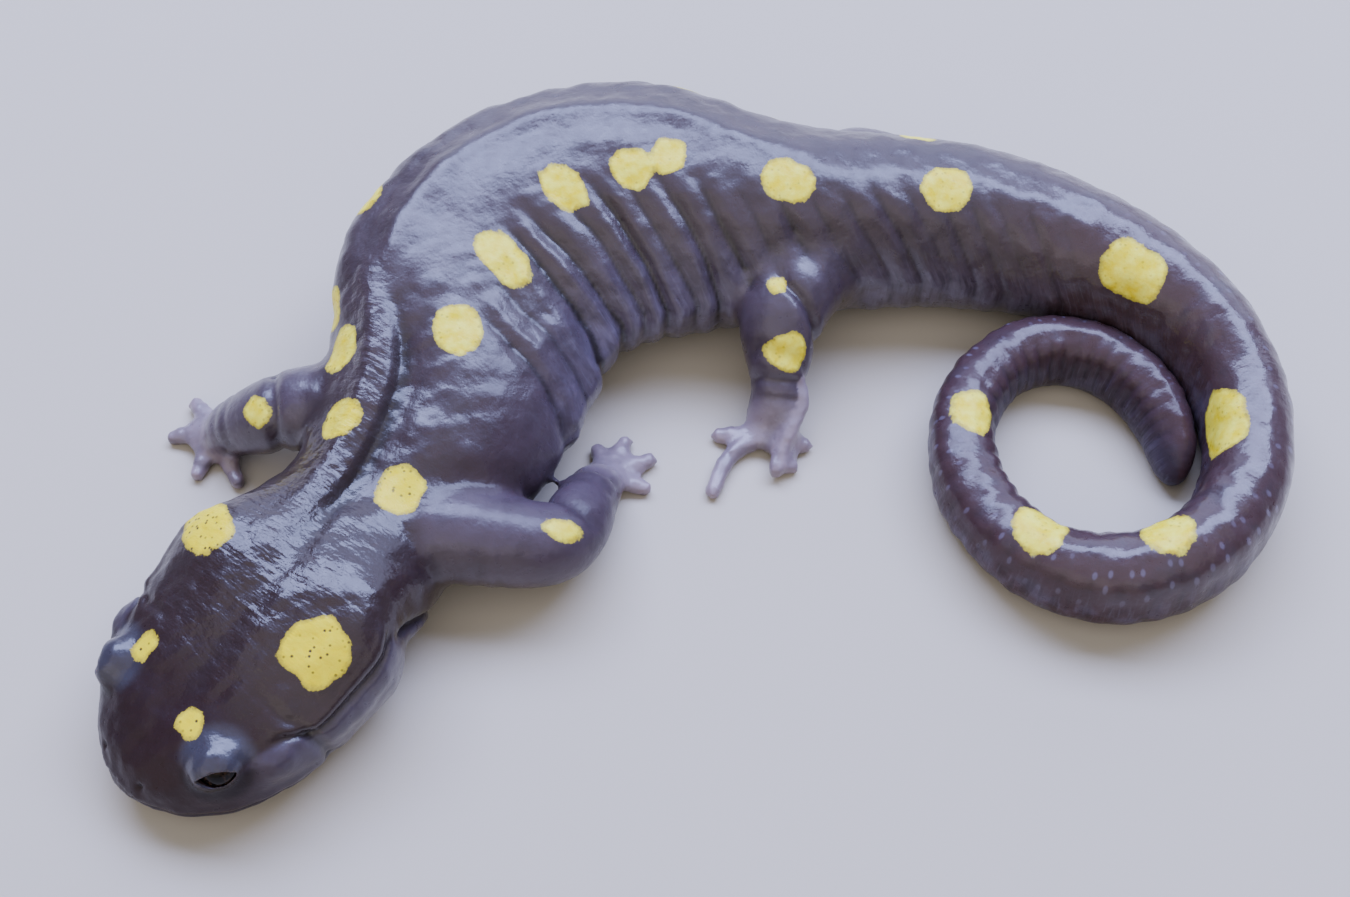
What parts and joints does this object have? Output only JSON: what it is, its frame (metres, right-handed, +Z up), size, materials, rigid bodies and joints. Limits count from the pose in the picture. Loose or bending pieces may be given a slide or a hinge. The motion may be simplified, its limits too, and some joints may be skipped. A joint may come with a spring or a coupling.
{
  "type": "spotted salamander",
  "caption": "Spotted salamander lying on its belly, back arched to one side and tail curled into a ring, as a still life-size model.",
  "frame": {"origin": "middle of the footprint, on the floor the animal lies on", "axes": "+Z up, +X from the head's end towards the curled tail, +Y towards the outer side of the arched back"},
  "size_m": [0.0958, 0.069, 0.017],
  "materials": {
    "skin": "wet and glossy, dark purple-brown with yellow spots",
    "pale_skin": "wet and glossy, pale grey-purple",
    "eye": "clear and glossy over black"
  },
  "bodies": {
    "root": {"head": "skin", "neck": "skin", "trunk_front": "skin", "trunk_middle": "skin", "trunk_rear": "skin", "tail_1": "skin", "tail_2": "skin", "tail_3": "skin", "tail_4": "skin", "tail_5": "skin", "tail_6": "skin", "right_eye": "eye", "left_eye": "eye", "right_upper_arm": "skin", "right_forearm": "skin", "right_hand": "pale_skin", "left_upper_arm": "skin", "left_forearm": "skin", "left_hand": "pale_skin", "left_thigh": "skin", "left_shin": "skin", "left_foot": "pale_skin", "right_thigh": "skin", "right_shin": "skin", "right_foot": "pale_skin"}
  },
  "joints": []
}
